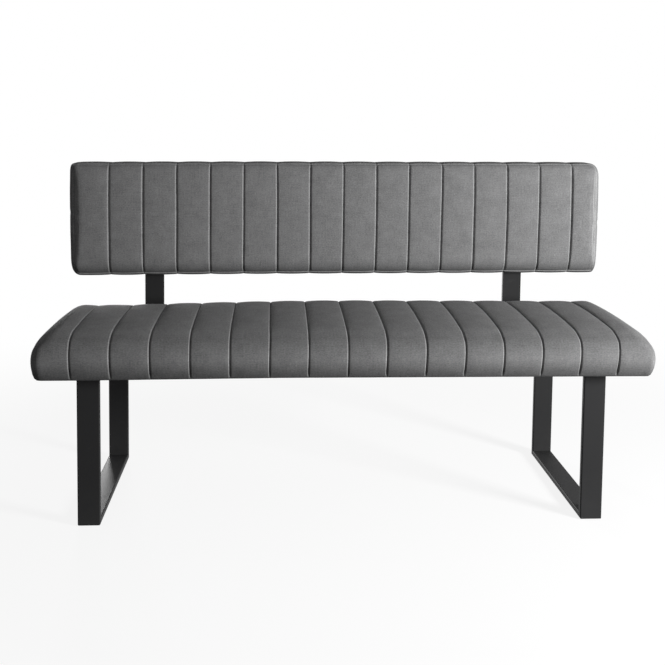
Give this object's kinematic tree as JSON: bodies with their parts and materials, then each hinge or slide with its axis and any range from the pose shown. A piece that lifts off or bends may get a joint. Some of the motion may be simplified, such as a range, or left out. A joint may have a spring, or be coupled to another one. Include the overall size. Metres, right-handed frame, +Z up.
{
  "type": "upholstered bench with backrest",
  "caption": "Upholstered bench with a separate low backrest, both sewn in upright channels, on two flat black steel loop legs.",
  "frame": {"origin": "on the floor under the middle of the bench", "axes": "+X to the right as seen from the front, -Y to the front, +Z up"},
  "size_m": [1.4, 0.502, 0.826],
  "materials": {
    "upholstery": "plain grey woven upholstery cloth, matt",
    "foam": "upholstery foam, matt",
    "plywood": "birch plywood, unfinished",
    "pine": "planed pine, unfinished",
    "black_steel": "black powder coat, satin",
    "zinc": "bright zinc plating",
    "black_cloth": "black non-woven cloth",
    "black_plastic": "black moulded plastic"
  },
  "bodies": {
    "root": {"seat_cover": "upholstery", "backrest_cover": "upholstery", "backrest_rear_cover": "upholstery", "seat_foam": "foam", "backrest_foam": "foam", "seat_deck": "plywood", "backrest_board": "plywood", "seat_front_rail": "pine", "seat_rear_rail": "pine", "seat_left_rail": "pine", "seat_right_rail": "pine", "left_leg_cross_rail": "pine", "left_arm_cross_rail": "pine", "centre_cross_rail": "pine", "right_arm_cross_rail": "pine", "right_leg_cross_rail": "pine", "deck_screws": "zinc", "seat_t_nuts": "zinc", "seat_staples": "zinc", "backrest_t_nuts": "zinc", "leg_bolts": "zinc", "leg_washers": "zinc", "arm_bolts": "zinc", "arm_washers": "zinc", "backrest_bolts": "zinc", "backrest_washers": "zinc", "seat_dust_cover": "black_cloth", "floor_glides": "black_plastic", "bracket_welds": "black_steel", "left_front_leg": "black_steel", "left_rear_leg": "black_steel", "left_floor_runner": "black_steel", "left_top_rail": "black_steel", "left_back_post": "black_steel", "left_back_arm": "black_steel", "right_front_leg": "black_steel", "right_rear_leg": "black_steel", "right_floor_runner": "black_steel", "right_top_rail": "black_steel", "right_back_post": "black_steel", "right_back_arm": "black_steel"}
  },
  "joints": []
}
